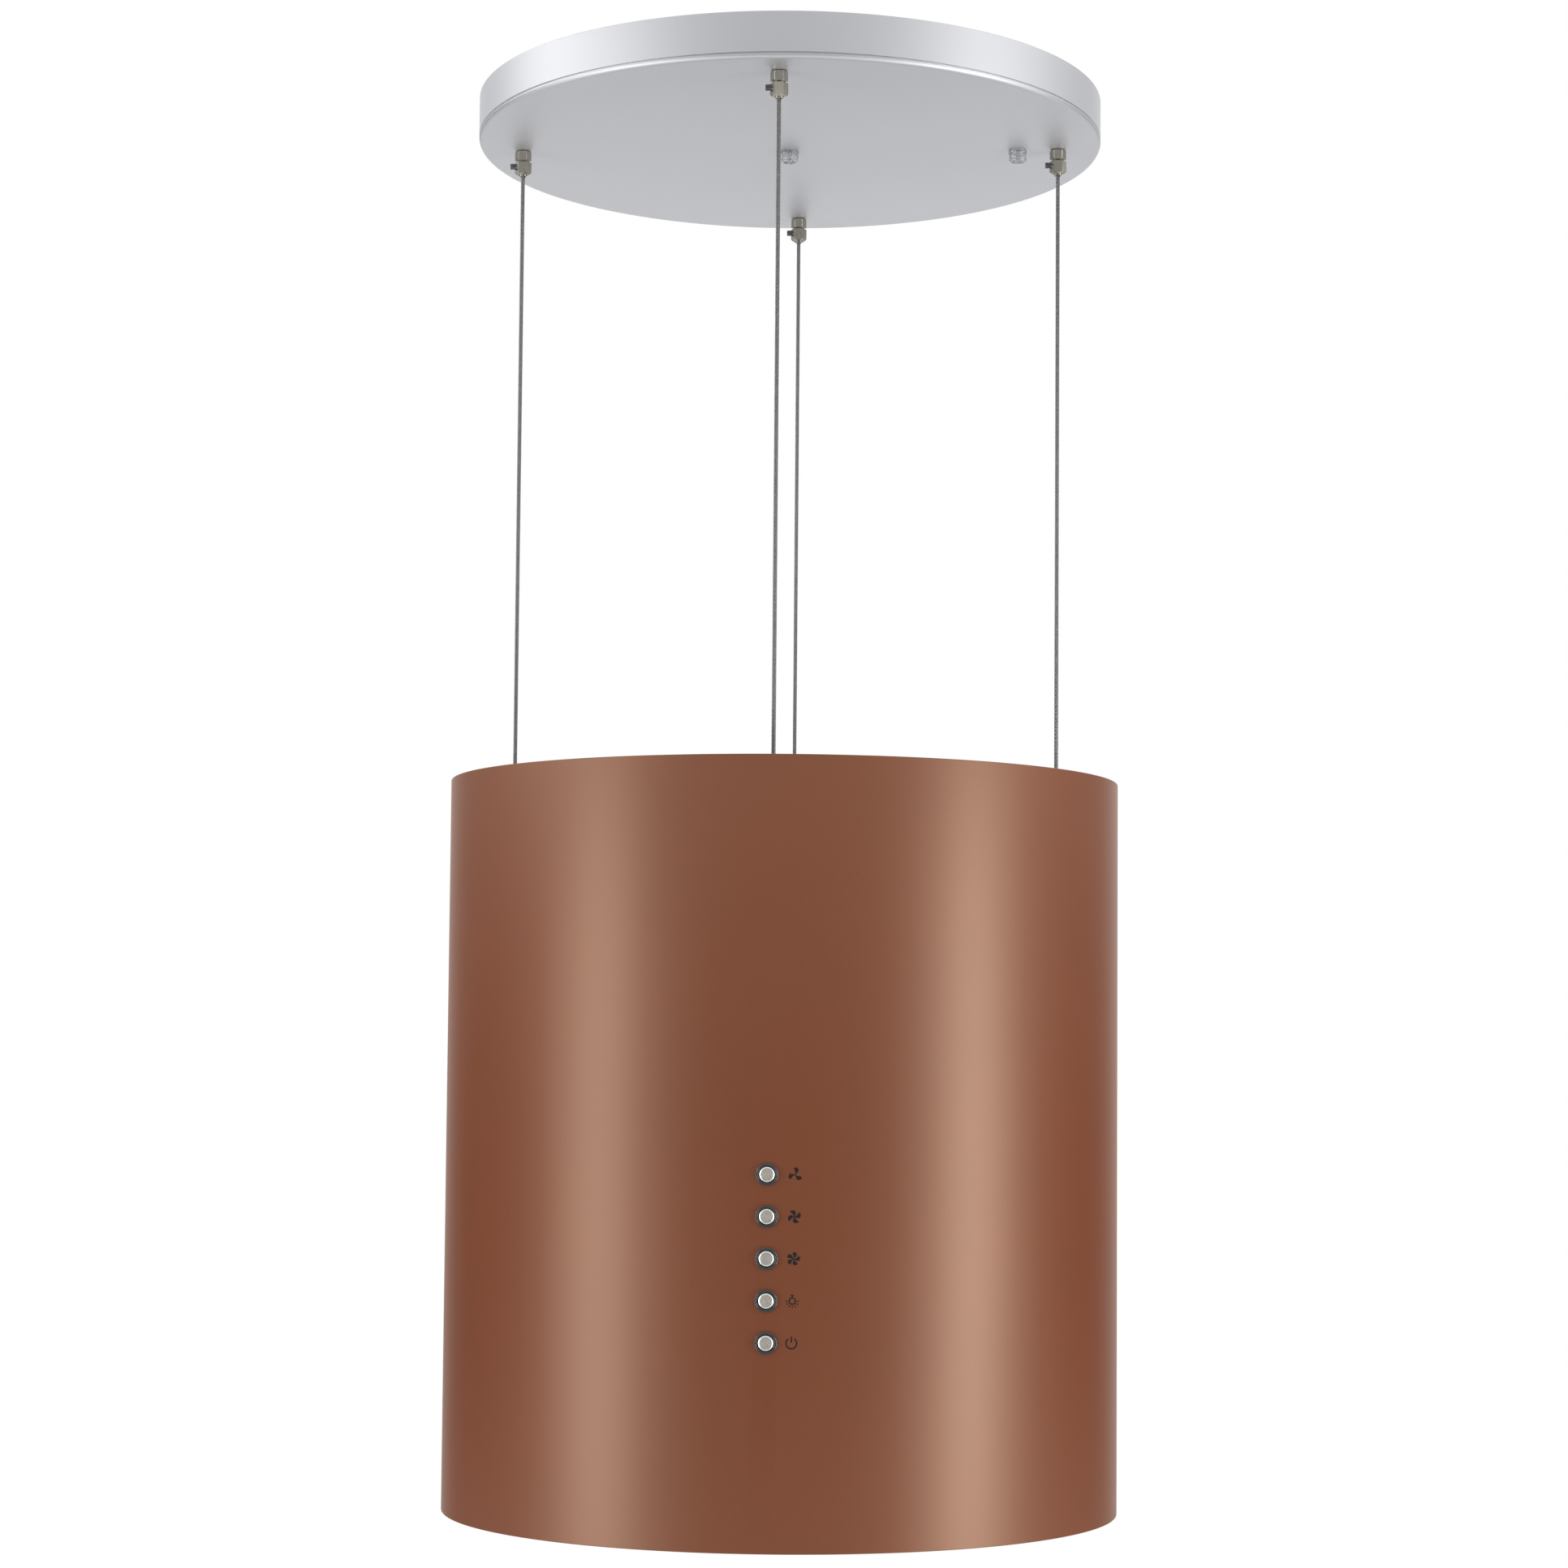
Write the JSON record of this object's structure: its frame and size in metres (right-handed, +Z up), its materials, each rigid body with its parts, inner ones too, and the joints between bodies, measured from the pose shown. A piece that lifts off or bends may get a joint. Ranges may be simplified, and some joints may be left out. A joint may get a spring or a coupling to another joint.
{
  "type": "island range hood",
  "caption": "Cylindrical ductless island range hood in copper paint, hung on steel wires from a round ceiling canopy, with push buttons, blower, filters and lamps.",
  "frame": {"origin": "on the ceiling, at the centre of the ceiling bracket's upper face", "axes": "+Z up, out of the ceiling face; the buttons face -Y; +X is to the right of someone facing them"},
  "size_m": [0.36, 0.3616, 0.762],
  "materials": {
    "galvanised": "satin zinc-coated sheet",
    "canopy_silver": "satin silver",
    "antique_nickel": "satin antique nickel",
    "dark_metal": "black chrome",
    "wire_steel": "bright twisted strands",
    "clear_plastic": "clear, gloss",
    "black_plastic": "matt black",
    "copper_paint": "satin metallic copper paint with fine flake",
    "steel": "spun satin stainless",
    "carbon": "matt black grid over charcoal",
    "circuit_board": "green solder mask",
    "aluminium": "satin",
    "frosted_lens": "frosted"
  },
  "bodies": {
    "canopy": {"ceiling_bracket": "galvanised", "canopy_cover": "canopy_silver", "terminal_block": "black_plastic", "cord_grip_centre": "clear_plastic", "cord_grip_side": "clear_plastic", "gripper_nut_1": "antique_nickel", "gripper_nut_2": "antique_nickel", "gripper_nut_3": "antique_nickel", "gripper_nut_4": "antique_nickel", "gripper_body_1": "antique_nickel", "gripper_body_2": "antique_nickel", "gripper_body_3": "antique_nickel", "gripper_body_4": "antique_nickel", "lock_screw_1": "dark_metal", "lock_screw_2": "dark_metal", "lock_screw_3": "dark_metal", "lock_screw_4": "dark_metal", "suspension_wire_1": "wire_steel", "suspension_wire_2": "wire_steel", "suspension_wire_3": "wire_steel", "suspension_wire_4": "wire_steel"},
    "hood": {"top_cover": "galvanised", "hanger_frame": "galvanised", "blower_wrapper": "galvanised", "blower_side_left": "galvanised", "blower_side_right": "galvanised", "motor_bracket": "galvanised", "control_box": "galvanised", "wire_anchor_1": "antique_nickel", "wire_anchor_2": "antique_nickel", "wire_anchor_3": "antique_nickel", "wire_anchor_4": "antique_nickel", "button_bezel_1": "dark_metal", "button_bezel_2": "dark_metal", "button_bezel_3": "dark_metal", "button_bezel_4": "dark_metal", "button_bezel_5": "dark_metal", "motor_body": "dark_metal", "cable_gland": "black_plastic", "hood_shell": "copper_paint", "bottom_panel": "copper_paint", "hinge_pin": "steel", "lamp_ring_left": "steel", "lamp_ring_right": "steel", "charcoal_filter_left": "carbon", "charcoal_filter_right": "carbon", "switch_board": "circuit_board", "capacitor": "aluminium", "lamp_lens_left": "frosted_lens", "lamp_lens_right": "frosted_lens"},
    "rotor": {"impeller": "galvanised", "motor_shaft": "steel"},
    "filter": {"filter_frame": "aluminium", "filter_mesh": "aluminium", "filter_handle": "steel"},
    "button_1": {"button_cap_1": "steel"},
    "button_2": {"button_cap_2": "steel"},
    "button_3": {"button_cap_3": "steel"},
    "button_4": {"button_cap_4": "steel"},
    "button_5": {"button_cap_5": "steel"}
  },
  "joints": [
    {"name": "hood_height", "type": "slide", "parent": "canopy", "child": "hood", "axis": [0, 0, 1], "range_m": [0, 0.25], "deforming": ["suspension_wire_1", "suspension_wire_2", "suspension_wire_3", "suspension_wire_4"]},
    {"name": "impeller_spin", "type": "hinge", "parent": "hood", "child": "rotor", "pos_m": [0, 0, -0.572], "axis": [1, 0, 0], "continuous": true},
    {"name": "filter_hinge", "type": "hinge", "parent": "hood", "child": "filter", "pos_m": [0, 0.104, -0.7435], "axis": [1, 0, 0], "range_deg": [0, 80]},
    {"name": "button_1_press", "type": "slide", "parent": "hood", "child": "button_1", "axis": [0, 1, 0], "range_m": [0, 0.0015], "stiffness_N_per_m": 500},
    {"name": "button_2_press", "type": "slide", "parent": "hood", "child": "button_2", "axis": [0, 1, 0], "range_m": [0, 0.0015], "stiffness_N_per_m": 500},
    {"name": "button_3_press", "type": "slide", "parent": "hood", "child": "button_3", "axis": [0, 1, 0], "range_m": [0, 0.0015], "stiffness_N_per_m": 500},
    {"name": "button_4_press", "type": "slide", "parent": "hood", "child": "button_4", "axis": [0, 1, 0], "range_m": [0, 0.0015], "stiffness_N_per_m": 500},
    {"name": "button_5_press", "type": "slide", "parent": "hood", "child": "button_5", "axis": [0, 1, 0], "range_m": [0, 0.0015], "stiffness_N_per_m": 500}
  ]
}
